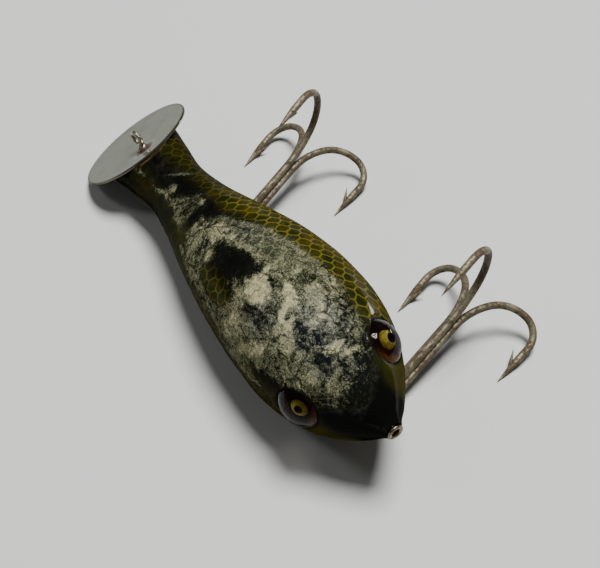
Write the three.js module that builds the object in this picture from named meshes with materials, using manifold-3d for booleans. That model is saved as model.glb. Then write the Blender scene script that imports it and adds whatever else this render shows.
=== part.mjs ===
import * as THREE from 'three';
import { mergeVertices } from 'three/addons/utils/BufferGeometryUtils.js';
import Module from 'manifold-3d';

// Old wooden fishing lure lying on a table: a turned and painted body with glass eyes,
// a round metal plate on its slanted narrow end, a line tie and two treble hooks.
// Sizes are in millimetres. The lure is first described upright, with its nose at the
// origin, +X out of the nose, +Y to the fish's left and +Z out of its back.

const wasm = await Module();
wasm.setup();

// Body: distance from the nose, half width, rise of the centre line, and its bow to the left.
const bodyStations = [
  [0, 1.6, 0, 0],
  [1, 2.45, -0.1, -0.1],
  [2.4, 3.95, -0.25, -0.15],
  [3.7, 5.1, -0.4, -0.2],
  [8, 8.3, -0.65, -0.25],
  [13.4, 11.1, -0.75, -0.1],
  [19.8, 12.8, -0.6, 0.15],
  [27.4, 13.1, -0.25, 0.45],
  [38.1, 12.05, 0.45, 0.45],
  [48.9, 9.7, 0.9, 0.1],
  [59.7, 7.1, 0.8, 0],
  [68.3, 6.1, 0.35, 0.1],
  [75.8, 7, 0, 0.1],
  [82.4, 7.9, -0.1, 0],
  [98.4, 7.2, -0.1, 0],
];
const roundUntil = 28.4;
const flatFrom = 85.4;
const flatRatio = 0.76;
const ringPoints = 42;

// Slanted end and the metal plate on it.
const noseToPlate = 85.5;
const plateDrop = -0.33;
const plateTilt = 61.9;
const plateRadius = 12.1;
const plateThickness = 0.5;
const gap = 0.3;

// Line tie: a screw eye with a small shoulder, standing near the upper edge of the plate.
const tieUp = 7.4;
const tieLeft = 0.3;
const tieRingRadius = 1.3;
const tieWireRadius = 0.5;
const tieRingHeight = 2.4;
const tieShankDepth = 6;
const tieTurn = 14;
const tieLean = 9;

// Glass eyes, on the shoulders of the head.
const leftEyeFromNose = 10.9;
const rightEyeFromNose = 11.9;
const eyeAngle = 64;
const eyeRadius = 3.7;
const eyeDomeHeight = 2.2;
const eyeRimDepth = 0.35;
const eyeWall = 0.85;

// Cup set in the blunt nose.
const cupFlangeRadius = 1.45;
const cupOuterRadius = 1;
const cupInnerRadius = 0.7;
const cupDepth = 1.8;

// Screw eyes in the belly that carry the trebles.
const frontHangerFromNose = 11.7;
const rearHangerFromNose = 57.2;
const hangerRingRadius = 1.4;
const hangerWireRadius = 0.45;
const hangerRingDrop = 2.15;
const hangerShankDepth = 6;

// Trebles: three hooks round one shank, with a ring at its end.
const hookWireRadius = 0.7;
const wireFromShankAxis = 0.85;
const trebleRingRadius = 1.55;
const trebleRingWire = 0.55;
const shankLength = 19.65;
const bends = [[13.9, 33.5], [7.6, 56.1], [4, 92.9]];
const pointLength = 8.5;
const barbFromTip = 3.2;
const barbLength = 3.4;
const barbSpread = 1.9;

// How the lure lies: leaning to its right, nose a little up, the trebles swung out to its left.
const lean = 20.8;
const noseUp = 4.75;
const noseAhead = 42.1;
const noseAside = 10.85;
const noseHeight = 15.27;
const frontSwing = [103.35, 13.371];
const rearSwing = [109.4, 10.116];

const rad = THREE.MathUtils.degToRad;

// Smooth curve through one column of the stations.
function through(column) {
  const xs = bodyStations.map((row) => row[0]);
  const ys = bodyStations.map((row) => row[column]);
  const n = xs.length;
  const slopes = ys.map((_, i) => {
    const a = Math.max(i - 1, 0);
    const b = Math.min(i + 1, n - 1);
    const before = i > a ? (ys[i] - ys[a]) / (xs[i] - xs[a]) : null;
    const after = b > i ? (ys[b] - ys[i]) / (xs[b] - xs[i]) : null;
    if (before === null) return after;
    if (after === null) return before;
    const left = xs[i] - xs[a];
    const right = xs[b] - xs[i];
    return (before * right + after * left) / (left + right);
  });
  return (x) => {
    let i = 0;
    while (i < n - 2 && x > xs[i + 1]) i += 1;
    const span = xs[i + 1] - xs[i];
    const t = (x - xs[i]) / span;
    const t2 = t * t;
    const t3 = t2 * t;
    return (2 * t3 - 3 * t2 + 1) * ys[i] + (t3 - 2 * t2 + t) * span * slopes[i]
      + (3 * t2 - 2 * t3) * ys[i + 1] + (t3 - t2) * span * slopes[i + 1];
  };
}
const halfWidth = through(1);
const centreRise = through(2);
const centreBow = through(3);

// The round section grows flatter from the thick part to the narrow end.
function halfHeight(s) {
  const t = THREE.MathUtils.clamp((s - roundUntil) / (flatFrom - roundUntil), 0, 1);
  return halfWidth(s) * (1 + t * (flatRatio - 1));
}

// Point on the skin: distance from the nose and angle from the back towards the left.
function skin(s, angle) {
  return new THREE.Vector3(
    -s,
    centreBow(s) + halfWidth(s) * Math.sin(angle),
    centreRise(s) + halfHeight(s) * Math.cos(angle),
  );
}

function skinNormal(s, angle) {
  const step = 0.05;
  const along = skin(s + step, angle).sub(skin(s - step, angle));
  const around = skin(s, angle + step).sub(skin(s, angle - step));
  return around.cross(along).normalize();
}

function surface(points, faces) {
  const geometry = new THREE.BufferGeometry();
  geometry.setAttribute('position', new THREE.Float32BufferAttribute(points.flat(), 3));
  geometry.setIndex(faces.flat());
  return geometry;
}

// Rings of equal count joined one to the next, closed by a point at each end.
function loft(rings, first, last) {
  const n = rings[0].length;
  const points = rings.flat().map((p) => p.toArray());
  const faces = [];
  for (let i = 0; i < rings.length - 1; i += 1) {
    for (let j = 0; j < n; j += 1) {
      const k = (j + 1) % n;
      faces.push([i * n + j, (i + 1) * n + j, (i + 1) * n + k]);
      faces.push([i * n + j, (i + 1) * n + k, i * n + k]);
    }
  }
  const start = points.length;
  points.push(first.toArray(), last.toArray());
  const base = (rings.length - 1) * n;
  for (let j = 0; j < n; j += 1) {
    const k = (j + 1) % n;
    faces.push([start, j, k]);
    faces.push([start + 1, base + k, base + j]);
  }
  return surface(points, faces);
}

// Round rod along points, each with its own radius; the sections keep to one plane's side.
function rod(path, radii, sideways, count) {
  const rings = path.map((point, i) => {
    const before = path[Math.max(i - 1, 0)];
    const after = path[Math.min(i + 1, path.length - 1)];
    const along = after.clone().sub(before).normalize();
    const a = sideways.clone().normalize();
    const b = a.clone().cross(along).normalize();
    return Array.from({ length: count }, (_, j) => {
      const angle = (2 * Math.PI * j) / count;
      return point.clone()
        .addScaledVector(a, radii[i] * Math.cos(angle))
        .addScaledVector(b, radii[i] * Math.sin(angle));
    });
  });
  return loft(rings, path[0], path[path.length - 1]);
}

function toSolid(geometry) {
  const bare = geometry.clone();
  bare.deleteAttribute('normal');
  bare.deleteAttribute('uv');
  const merged = mergeVertices(bare, 1e-5);
  const flat = new wasm.Mesh({
    numProp: 3,
    vertProperties: new Float32Array(merged.attributes.position.array),
    triVerts: new Uint32Array(merged.index.array),
  });
  return new wasm.Manifold(flat);
}

function toGeometry(solid) {
  const mesh = solid.getMesh();
  const geometry = new THREE.BufferGeometry();
  geometry.setAttribute('position', new THREE.BufferAttribute(new Float32Array(mesh.vertProperties), 3));
  geometry.setIndex(new THREE.BufferAttribute(new Uint32Array(mesh.triVerts), 1));
  geometry.computeVertexNormals();
  return geometry;
}

// Solid of revolution about +Z, moved so that its axis starts at a place and follows a direction.
function turned(profile, segments, place, direction) {
  const lathe = new THREE.LatheGeometry(profile.map(([r, z]) => new THREE.Vector2(r, z)), segments);
  lathe.rotateX(Math.PI / 2);
  const turn = new THREE.Quaternion().setFromUnitVectors(new THREE.Vector3(0, 0, 1), direction);
  lathe.applyQuaternion(turn);
  lathe.translate(place.x, place.y, place.z);
  return toSolid(lathe);
}

function pin(radius, from, to, segments = 20) {
  const axis = to.clone().sub(from);
  const length = axis.length();
  return turned([[0, 0], [radius, 0], [radius, length], [0, length]], segments, from, axis.normalize());
}

// Screw eye standing along +Z, the ring in the XZ plane and the shank going down from the skin.
function screwEye(ringRadius, wireRadius, ringHeight, depth) {
  const ring = new THREE.TorusGeometry(ringRadius, wireRadius, 8, 20);
  ring.rotateX(Math.PI / 2);
  ring.translate(0, 0, ringHeight);
  const top = ringHeight - ringRadius + wireRadius * 0.4;
  return toSolid(ring).add(pin(wireRadius, new THREE.Vector3(0, 0, -depth), new THREE.Vector3(0, 0, top), 12));
}

function part(name, solid, colour, roughness, metalness) {
  const material = new THREE.MeshStandardMaterial({ color: colour, roughness, metalness });
  const mesh = new THREE.Mesh(toGeometry(solid), material);
  mesh.name = name;
  return mesh;
}

// Pose of the body group, and the table seen from it.
const lying = new THREE.Group();
lying.rotation.order = 'YXZ';
lying.rotation.set(rad(lean), rad(-noseUp), 0);
lying.position.set(noseAhead, -noseAside, noseHeight);
lying.updateMatrix();
const tableSide = new THREE.BoxGeometry(300, 300, 40);
tableSide.translate(0, 0, -20);
tableSide.applyMatrix4(lying.matrix.clone().invert());

// Body, with the rings closer together where the shape turns quickly.
const ringPlaces = [0, 0.4, 1, 2, 3.4, 5.4, 8, 10.6, 13.4, 16.4, 19.8, 23.4, 27.4, 31.4, 35.4, 39.4, 44,
  49, 53.5, 57.5, 61, 64.5, 68, 71.5, 74.5, 77.5, 80.5, 83.5, 87.5, 92.5, 98.4];
const bodyRings = ringPlaces.map((s) => Array.from({ length: ringPoints }, (_, j) => (
  skin(s, (-2 * Math.PI * j) / ringPoints))));
const bodyBlank = loft(bodyRings, new THREE.Vector3(0, 0, 0), new THREE.Vector3(-98.4, 0, -0.1));
let body = toSolid(bodyBlank);

// Slanted end: everything beyond the plate's back face goes.
const plateOut = new THREE.Vector3(-Math.cos(rad(plateTilt)), 0, Math.sin(rad(plateTilt)));
const plateUp = new THREE.Vector3(Math.sin(rad(plateTilt)), 0, Math.cos(rad(plateTilt)));
const plateFace = new THREE.Vector3(-noseToPlate, 0, plateDrop);
const slant = new THREE.BoxGeometry(60, 60, 60);
slant.translate(0, 0, 30);
slant.applyQuaternion(new THREE.Quaternion().setFromUnitVectors(new THREE.Vector3(0, 0, 1), plateOut));
const woodFace = plateFace.clone().addScaledVector(plateOut, -plateThickness - gap);
slant.translate(woodFace.x, woodFace.y, woodFace.z);
body = body.subtract(toSolid(slant));

// Small flat spot where the right flank rests.
body = body.subtract(toSolid(tableSide));

// Eye sockets and eyes.
const eyes = [['left_eye', leftEyeFromNose, 1], ['right_eye', rightEyeFromNose, -1]].map(([name, s, side]) => {
  const angle = side * rad(eyeAngle);
  const out = skinNormal(s, angle);
  const place = skin(s, angle);
  const base = place.clone().addScaledVector(out, -eyeRimDepth - eyeWall);
  const socketFloor = place.clone().addScaledVector(out, -eyeRimDepth - eyeWall - gap);
  const socketTop = place.clone().addScaledVector(out, 4);
  body = body.subtract(pin(eyeRadius + gap, socketFloor, socketTop, 28));
  const sphere = (eyeRadius ** 2 + eyeDomeHeight ** 2) / (2 * eyeDomeHeight);
  const reach = Math.asin(eyeRadius / sphere);
  const dome = Array.from({ length: 7 }, (_, i) => {
    const a = reach * (1 - i / 6);
    return [i === 6 ? 0 : sphere * Math.sin(a), eyeWall + eyeDomeHeight - sphere * (1 - Math.cos(a))];
  });
  return part(name, turned([[0, 0], [eyeRadius, 0], ...dome], 28, base, out), 0x241d12, 0.08, 0);
});

// Nose cup and its hole.
const forward = new THREE.Vector3(1, 0, 0);
const cupHole = pin(cupOuterRadius + gap, new THREE.Vector3(-cupDepth - gap, 0, 0), new THREE.Vector3(3, 0, 0));
body = body.subtract(cupHole);
const cup = turned([
  [0, 0], [cupOuterRadius, 0], [cupOuterRadius, cupDepth + gap], [cupFlangeRadius, cupDepth + gap],
  [cupFlangeRadius, cupDepth + gap + 0.2], [cupFlangeRadius - 0.2, cupDepth + gap + 0.38],
  [cupInnerRadius + 0.1, cupDepth + gap + 0.35], [cupInnerRadius, cupDepth + gap + 0.2],
  [cupInnerRadius, 0.3], [0, 0.3],
], 24, new THREE.Vector3(-cupDepth, 0, 0), forward);

// Line tie, and the holes for its shank in the plate and the wood.
const tieFoot = plateFace.clone().addScaledVector(plateUp, tieUp).add(new THREE.Vector3(0, tieLeft, 0));
const shankHole = pin(
  tieWireRadius + gap + 0.05,
  tieFoot.clone().addScaledVector(plateOut, -tieShankDepth - 0.5),
  tieFoot.clone().addScaledVector(plateOut, 4),
  16,
);
body = body.subtract(shankHole);
const plateEdge = 0.12;
const plate = turned([
  [0, 0], [plateRadius - plateEdge, 0], [plateRadius, plateEdge], [plateRadius, plateThickness - plateEdge],
  [plateRadius - plateEdge, plateThickness], [0, plateThickness],
], 56, plateFace.clone().addScaledVector(plateOut, -plateThickness), plateOut).subtract(shankHole);
const shoulder = turned([
  [0, gap], [0.95, gap], [1, gap + 0.3], [0.9, gap + 0.65], [0.6, gap + 0.95], [0, gap + 1.05],
], 16, new THREE.Vector3(), new THREE.Vector3(0, 0, 1));
const tieRing = new THREE.TorusGeometry(tieRingRadius, tieWireRadius, 8, 20);
tieRing.rotateX(Math.PI / 2);
tieRing.rotateZ(rad(tieTurn));
tieRing.translate(0, 0, tieRingHeight - 0.8);
tieRing.rotateX(rad(-tieLean));
tieRing.translate(0, 0, 0.8);
const tieShank = pin(tieWireRadius, new THREE.Vector3(0, 0, -tieShankDepth), new THREE.Vector3(0, 0, 0.9), 12);
const tie = part('line_tie', toSolid(tieRing).add(shoulder).add(tieShank), 0x8f8a74, 0.35, 0.9);
tie.position.copy(tieFoot);
tie.quaternion.setFromRotationMatrix(new THREE.Matrix4().makeBasis(
  plateUp.clone(), plateOut.clone().cross(plateUp), plateOut,
));

// Hangers in the belly, each ring set across the body so that its treble swings fore and aft.
function hanger(name, s) {
  const out = new THREE.Vector3(0, 0, -1);
  const foot = skin(s, Math.PI);
  const hole = pin(
    hangerWireRadius + gap + 0.05,
    foot.clone().addScaledVector(out, -hangerShankDepth - 0.5),
    foot.clone().addScaledVector(out, 4),
    16,
  );
  body = body.subtract(hole);
  const mesh = part(
    name,
    screwEye(hangerRingRadius, hangerWireRadius, hangerRingDrop, hangerShankDepth),
    0x77705c, 0.45, 0.85,
  );
  mesh.position.copy(foot);
  mesh.quaternion.setFromRotationMatrix(new THREE.Matrix4().makeBasis(
    new THREE.Vector3(0, 1, 0), new THREE.Vector3(1, 0, 0), out,
  ));
  return mesh;
}
const frontHanger = hanger('front_hanger', frontHangerFromNose);
const rearHanger = hanger('rear_hanger', rearHangerFromNose);

// One hook of a treble in the plane of its shank (X) and its own outward direction (Y).
function hookPath() {
  const path = [[1.4, 0.45, 0.5], [3, wireFromShankAxis, hookWireRadius], [11, wireFromShankAxis, hookWireRadius]];
  let x = shankLength;
  let y = wireFromShankAxis;
  let heading = 0;
  path.push([x, y, hookWireRadius]);
  bends.forEach(([radius, turn]) => {
    const steps = Math.round(turn / 10.5);
    const centreX = x - radius * Math.sin(heading);
    const centreY = y + radius * Math.cos(heading);
    for (let i = 1; i <= steps; i += 1) {
      const a = heading + (rad(turn) * i) / steps;
      path.push([centreX + radius * Math.sin(a), centreY - radius * Math.cos(a), hookWireRadius]);
    }
    heading += rad(turn);
    [x, y] = path[path.length - 1];
  });
  const taper = [[0.35, 0.97], [0.6, 0.82], [0.78, 0.6], [0.91, 0.34], [1, 0.1]];
  taper.forEach(([t, size]) => {
    const d = t * pointLength;
    path.push([x + d * Math.cos(heading), y + d * Math.sin(heading), size * hookWireRadius]);
  });
  return { path, heading };
}

function treble(name, colour) {
  const ring = new THREE.TorusGeometry(trebleRingRadius, trebleRingWire, 8, 20);
  let solid = toSolid(ring);
  const { path, heading } = hookPath();
  const end = path[path.length - 1];
  [-120, 0, 120].forEach((turn) => {
    const outward = new THREE.Vector3(0, Math.sin(rad(turn)), Math.cos(rad(turn)));
    const sideways = new THREE.Vector3(0, Math.cos(rad(turn)), -Math.sin(rad(turn)));
    const at = (x, y) => new THREE.Vector3(x, 0, 0).addScaledVector(outward, y);
    const wire = rod(path.map(([x, y]) => at(x, y)), path.map((row) => row[2]), sideways, 8);
    const along = [Math.cos(heading), Math.sin(heading)];
    const inward = [-Math.sin(heading), Math.cos(heading)];
    const onPoint = (fromTip, spread) => at(
      end[0] - along[0] * fromTip + inward[0] * spread,
      end[1] - along[1] * fromTip + inward[1] * spread,
    );
    const barb = rod(
      [onPoint(barbFromTip, -0.05), onPoint(barbFromTip + 0.4 * barbLength, 0.4 * barbSpread),
        onPoint(barbFromTip + barbLength, barbSpread)],
      [0.36, 0.32, 0.05],
      sideways,
      6,
    );
    solid = solid.add(toSolid(wire)).add(toSolid(barb));
  });
  return part(name, solid, colour, 0.5, 0.75);
}

// A treble hangs with its ring through the hanger's ring and lies swung out over the table.
function hangTreble(mesh, hangerMesh, [swing, rise]) {
  const hold = new THREE.Vector3(0, 0, hangerRingDrop).applyQuaternion(hangerMesh.quaternion)
    .add(hangerMesh.position).applyMatrix4(lying.matrix);
  mesh.rotation.order = 'ZYX';
  mesh.rotation.set(0, rad(-rise), rad(swing));
  const reach = new THREE.Vector3(trebleRingRadius, 0, 0).applyEuler(mesh.rotation);
  mesh.position.copy(hold).add(reach);
  return mesh;
}

lying.add(
  part('body', body, 0x5a5a44, 0.35, 0),
  ...eyes,
  part('nose_cup', cup, 0xa39a80, 0.35, 0.9),
  part('metal_plate', plate, 0xb9bcb4, 0.18, 1),
  tie,
  frontHanger,
  rearHanger,
);

const lure = new THREE.Group();
lure.name = 'fishing_lure';
lure.add(lying);
lure.add(hangTreble(treble('front_treble', 0x7d715c), frontHanger, frontSwing));
lure.add(hangTreble(treble('rear_treble', 0x7d715c), rearHanger, rearSwing));

// The origin goes under the middle of the whole lure, on the table.
lure.updateMatrixWorld(true);
const extent = new THREE.Box3().setFromObject(lure, true);
const middle = extent.getCenter(new THREE.Vector3());
lure.position.set(-middle.x, -middle.y, 0);
lure.updateMatrixWorld(true);

export default lure;
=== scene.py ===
import math
from types import SimpleNamespace

import bpy
import numpy as np
from mathutils import Matrix, Vector


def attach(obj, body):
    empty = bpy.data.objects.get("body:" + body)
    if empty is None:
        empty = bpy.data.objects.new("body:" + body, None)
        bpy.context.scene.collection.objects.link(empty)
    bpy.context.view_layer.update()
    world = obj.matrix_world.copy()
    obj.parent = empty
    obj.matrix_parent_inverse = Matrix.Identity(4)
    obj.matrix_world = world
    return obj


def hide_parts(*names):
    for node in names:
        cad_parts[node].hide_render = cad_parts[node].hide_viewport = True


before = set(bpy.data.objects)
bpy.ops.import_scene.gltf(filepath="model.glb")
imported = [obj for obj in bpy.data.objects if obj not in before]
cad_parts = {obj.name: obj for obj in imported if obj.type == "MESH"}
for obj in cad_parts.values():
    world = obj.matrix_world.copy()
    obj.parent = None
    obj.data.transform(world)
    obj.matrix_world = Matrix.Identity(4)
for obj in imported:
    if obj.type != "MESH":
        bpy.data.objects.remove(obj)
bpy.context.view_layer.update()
mm = 0.001
rad = math.radians

# Meshes, built in millimetres


def placePiece(name, part, matrix, material, sharp, fields=None):
    points, faces = part
    local = np.array([tuple(p) for p in points], float)
    turn = np.array(matrix)
    placed = (local * mm) @ turn[:3, :3].T + turn[:3, 3]
    mesh = bpy.data.meshes.new(name)
    mesh.from_pydata(placed.tolist(), [], [tuple(f) for f in faces])
    mesh.polygons.foreach_set("use_smooth", [True] * len(mesh.polygons))
    mesh.set_sharp_from_angle(angle=rad(sharp))
    place = mesh.attributes.new("place", "FLOAT_VECTOR", "POINT")  # its own millimetres, for the paint
    place.data.foreach_set("vector", local.astype(np.float32).ravel())
    for title, values in (fields or {}).items():
        field = mesh.attributes.new(title, "FLOAT", "POINT")
        field.data.foreach_set("value", values.astype(np.float32).ravel())
    mesh.materials.append(material)
    piece = bpy.data.objects.new(name, mesh)
    bpy.context.scene.collection.objects.link(piece)
    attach(piece, "root")
    return piece


def ringFaces(rows, count):  # faces between rings of points, and one over each end
    faces = []
    for i in range(rows - 1):
        a = i * count
        b = a + count
        for j in range(count):
            k = (j + 1) % count
            faces.append((a + j, a + k, b + k, b + j))
    faces.append(tuple(reversed(range(count))))
    faces.append(tuple((rows - 1) * count + j for j in range(count)))
    return faces


def turned(profile, count):  # closed round shape from (radius, height), from the bottom to the top
    turns = [2 * math.pi * j / count for j in range(count)]
    points = [(r * math.cos(a), r * math.sin(a), height) for r, height in profile for a in turns]
    return points, ringFaces(len(profile), count)


def tube(path, radii, sideways, count):  # closed round bar along a path, kept to one plane's side
    path = [Vector(p) for p in path]
    side = Vector(sideways).normalized()
    points = []
    for i, point in enumerate(path):
        along = (path[min(i + 1, len(path) - 1)] - path[max(i - 1, 0)]).normalized()
        a = (side - along * side.dot(along)).normalized()
        b = along.cross(a)
        for j in range(count):
            angle = 2 * math.pi * j / count
            points.append(point + (a * math.cos(angle) + b * math.sin(angle)) * radii[i])
    return points, ringFaces(len(path), count)


def closedRing(radius, wire, count=64, sides=20):  # wire bent to a full ring
    points = []
    faces = []
    for i in range(count):
        a = 2 * math.pi * i / count
        here = i * sides
        there = (i + 1) % count * sides
        for j in range(sides):
            b = 2 * math.pi * j / sides
            r = radius + wire * math.cos(b)
            k = (j + 1) % sides
            points.append((r * math.cos(a), r * math.sin(a), wire * math.sin(b)))
            faces.append((here + j, there + j, there + k, here + k))
    return points, faces


def moved(part, matrix):
    points, faces = part
    return [tuple(matrix @ Vector(p)) for p in points], faces


def joined(parts):  # several closed shells in one piece
    points = []
    faces = []
    for somePoints, someFaces in parts:
        start = len(points)
        points += list(somePoints)
        faces += [tuple(i + start for i in f) for f in someFaces]
    return points, faces


# Repeatable noise for shapes


def smoothStep(t):
    return t * t * (3 - 2 * t)


def chance(x, y, z, seed):  # a number from 0 to 1 for each whole place, mixed from its digits
    h = (x * 374761393 + y * 668265263 + z * 2147483647 + seed * 974634777) & 0xFFFFFFFF
    h = ((h ^ (h >> 13)) * 1274126177) & 0xFFFFFFFF
    return ((h ^ (h >> 16)) & 0xFFFFFF) / 0xFFFFFF


def valueNoise(p, seed):
    base = np.floor(p).astype(np.int64)
    t = smoothStep(p - base)
    total = 0
    for dx in (0, 1):
        for dy in (0, 1):
            for dz in (0, 1):
                weight = (t[..., 0] if dx else 1 - t[..., 0])
                weight = weight * (t[..., 1] if dy else 1 - t[..., 1])
                weight = weight * (t[..., 2] if dz else 1 - t[..., 2])
                corner = chance(base[..., 0] + dx, base[..., 1] + dy, base[..., 2] + dz, seed)
                total = total + weight * corner
    return total * 2 - 1


def fractal(p, octaves, seed):  # each finer layer counts half as much
    total = 0
    size = 1.0
    for k in range(octaves):
        total = total + valueNoise(p * 2 ** k, seed + k) * size
        size *= 0.5
    return total


# Materials: a wrapped socket does sums, and every other node comes from one method


class Field:
    def __init__(self, paint, socket):
        self.paint = paint
        self.socket = socket

    def math(self, operation, other=None):
        return self.paint.node("Math", {"operation": operation}, {0: self, 1: other})

    def __add__(self, other):
        return self.math("ADD", other)

    __radd__ = __add__

    def __mul__(self, other):
        return self.math("MULTIPLY", other)

    __rmul__ = __mul__

    def __sub__(self, other):
        return self.math("SUBTRACT", other)

    def __rsub__(self, other):
        return self.math("MULTIPLY", -1).math("ADD", other)

    def __truediv__(self, other):
        return self.math("DIVIDE", other)

    def smooth(self, low, high):  # 0 below low, 1 above high, and a soft step between
        settings = {"interpolation_type": "SMOOTHSTEP", "clamp": True}
        return self.paint.node("MapRange", settings, {0: self, 1: low, 2: high})

    def near(self, value, inner, outer):  # 1 on a thin line where this has the value
        return 1 - (self - value).math("ABSOLUTE").smooth(inner, outer)


class Paint:
    def __init__(self, name, **values):
        self.material = bpy.data.materials.new(name)
        self.material.use_nodes = True
        self.tree = self.material.node_tree
        self.shader = self.tree.nodes["Principled BSDF"]
        for title, value in values.items():
            self.shader.inputs[title.replace("_", " ")].default_value = value

    def node(self, kind, settings=None, inputs=None, output=0):  # gives back one output, wrapped
        made = self.tree.nodes.new("ShaderNode" + kind)
        for title, value in (settings or {}).items():
            setattr(made, title, value)
        for title, value in (inputs or {}).items():
            if isinstance(value, Field):
                self.tree.links.new(value.socket, made.inputs[title])
            elif value is not None:
                made.inputs[title].default_value = value
        return Field(self, made.outputs[output])

    def drive(self, title, value):
        self.tree.links.new(value.socket, self.shader.inputs[title])

    def place(self):  # where on the piece, in its own millimetres
        return self.node("Attribute", {"attribute_name": "place"}, None, "Vector")

    def field(self, title):  # a number that the mesh carries at each point
        return self.node("Attribute", {"attribute_name": title}, None, "Fac")

    def axes(self, vector):
        return [self.node("SeparateXYZ", None, {0: vector}, i) for i in range(3)]

    def stretch(self, vector, amounts):
        return self.node("VectorMath", {"operation": "MULTIPLY"}, {0: vector, 1: amounts})

    def noise(self, vector, scale, detail=3, roughness=0.55, output=0):
        inputs = {"Vector": vector, "Scale": scale, "Detail": detail, "Roughness": roughness}
        return self.node("TexNoise", None, inputs, output)

    def cells(self, vector, scale, feature="DISTANCE_TO_EDGE", output=0):
        inputs = {"Vector": vector, "Scale": scale}
        return self.node("TexVoronoi", {"feature": feature}, inputs, output)

    def mix(self, share, first, second):
        settings = {"data_type": "RGBA", "clamp_factor": True}
        return self.node("Mix", settings, {0: share, 6: first, 7: second}, 2)

    def cover(self, colour, *coats):  # each coat is a share and the colour it brings
        for share, over in coats:
            colour = self.mix(share, colour, over)
        return colour

    def bump(self, height):  # height in millimetres
        self.drive("Normal", self.node("Bump", None, {"Height": height, "Distance": mm}))


def tone(red, green, blue):
    return (red, green, blue, 1)


def distance(x, y):
    return (x * x + y * y).math("SQRT")


# Upright lure: nose at the origin, +X out of the nose, +Y to the fish's left, +Z out of its back

bodyShape = {
    "fromNose": [0, 1, 2.4, 3.7, 8, 13.4, 19.8, 27.4, 38.1, 48.9, 59.7, 68.3, 75.8, 82.4, 98.4],
    "halfWidth": [1.6, 2.45, 3.95, 5.1, 8.3, 11.1, 12.8, 13.1, 12.05, 9.7, 7.1, 6.1, 7, 7.9, 7.2],
    "centreRise": [0, -0.1, -0.25, -0.4, -0.65, -0.75, -0.6, -0.25, 0.45, 0.9, 0.8, 0.35, 0, -0.1, -0.1],
    "centreBow": [0, -0.1, -0.15, -0.2, -0.25, -0.1, 0.15, 0.45, 0.45, 0.1, 0, 0.1, 0.1, 0, 0],
    "roundUntil": 28.4,
    "flatFrom": 85.4,
    "flatRatio": 0.76,
    "around": 256,  # points round the body
    "along": 322,  # rings along it
    "slantFrom": 48,  # from here the rings lean towards the slanted end
}
slantedEnd = {
    "noseToPlate": 85.5,
    "plateDrop": -0.33,
    "tilt": 61.9,
    "radius": 12.1,
    "thickness": 0.5,
    "woodGap": 0.03,
    "tieUp": 7.4,  # where the line tie stands on the plate
    "tieLeft": 0.3,
}
lyingPose = {
    "lean": 20.8,  # degrees about its own length
    "noseUp": 4.75,  # degrees
    "nose": (42.1, -10.85, 15.27),
    "shift": (5.1658, -2.2988, 0),  # to the middle of its box
    "frontSwing": (103.35, 13.371),  # how far each treble is swung out and raised, in degrees
    "rearSwing": (109.4, 10.116),
}

lying = (
    Matrix.Translation(Vector(lyingPose["shift"]) * mm)
    @ Matrix.Translation(Vector(lyingPose["nose"]) * mm)
    @ Matrix.Rotation(rad(-lyingPose["noseUp"]), 4, "Y")
    @ Matrix.Rotation(rad(lyingPose["lean"]), 4, "X")
)


def through(column):  # smooth curve through the values that bodyShape gives
    xs = np.array(bodyShape["fromNose"], float)
    ys = np.array(bodyShape[column], float)
    steps = np.diff(ys) / np.diff(xs)
    left = np.diff(xs)[:-1]
    right = np.diff(xs)[1:]
    inner = (steps[:-1] * right + steps[1:] * left) / (left + right)
    slopes = np.concatenate([steps[:1], inner, steps[-1:]])

    def value(x):
        x = np.asarray(x, float)
        i = np.clip(np.searchsorted(xs, x) - 1, 0, len(xs) - 2)
        span = xs[i + 1] - xs[i]
        t = (x - xs[i]) / span
        return (
            (2 * t ** 3 - 3 * t ** 2 + 1) * ys[i] + (t ** 3 - 2 * t ** 2 + t) * span * slopes[i]
            + (3 * t ** 2 - 2 * t ** 3) * ys[i + 1] + (t ** 3 - t ** 2) * span * slopes[i + 1]
        )

    return value


halfWidth = through("halfWidth")
centreRise = through("centreRise")
centreBow = through("centreBow")


def halfHeight(s):
    span = bodyShape["flatFrom"] - bodyShape["roundUntil"]
    t = np.clip((s - bodyShape["roundUntil"]) / span, 0, 1)
    return halfWidth(s) * (1 + t * (bodyShape["flatRatio"] - 1))


def skin(s, angle):
    y = centreBow(s) + halfWidth(s) * np.sin(angle)
    z = centreRise(s) + halfHeight(s) * np.cos(angle)
    return np.stack([-s + 0 * angle, y, z], -1)


def skinNormal(s, angle):
    step = 0.02
    along = skin(s + step, angle) - skin(s - step, angle)
    around = skin(s, angle + step) - skin(s, angle - step)
    out = np.cross(around, along)
    return out / np.linalg.norm(out, axis=-1, keepdims=True)


tilt = rad(slantedEnd["tilt"])
plateOut = np.array([-math.cos(tilt), 0, math.sin(tilt)])
plateUp = np.array([math.sin(tilt), 0, math.cos(tilt)])
plateFace = np.array([-slantedEnd["noseToPlate"], 0, slantedEnd["plateDrop"]])
woodFace = plateFace - plateOut * (slantedEnd["thickness"] + slantedEnd["woodGap"])


def endOfSkin(angle):  # where the skin meets the slanted end, found by halving
    low = np.full_like(angle, 55.0)
    high = np.full_like(angle, 98.0)
    for step in range(40):
        middle = (low + high) / 2
        past = (skin(middle, angle) - woodFace) @ plateOut > 0
        high = np.where(past, middle, high)
        low = np.where(past, low, middle)
    return (low + high) / 2


eyeShape = {
    "left": (10.9, 64),  # distance from the nose, angle from the back
    "right": (11.9, -64),
    "radius": 3.7,
    "dome": 1.85,
    "rim": 0.35,
}


def eyeSeat(side):
    s, degrees = eyeShape[side]
    angle = np.array(rad(degrees))
    place = skin(np.array(s), angle)
    out = skinNormal(np.array(s), angle)
    return place, out


# Wear on the body, read from the photograph as places on the skin:
# distance from the nose, angle from the back towards the left

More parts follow.
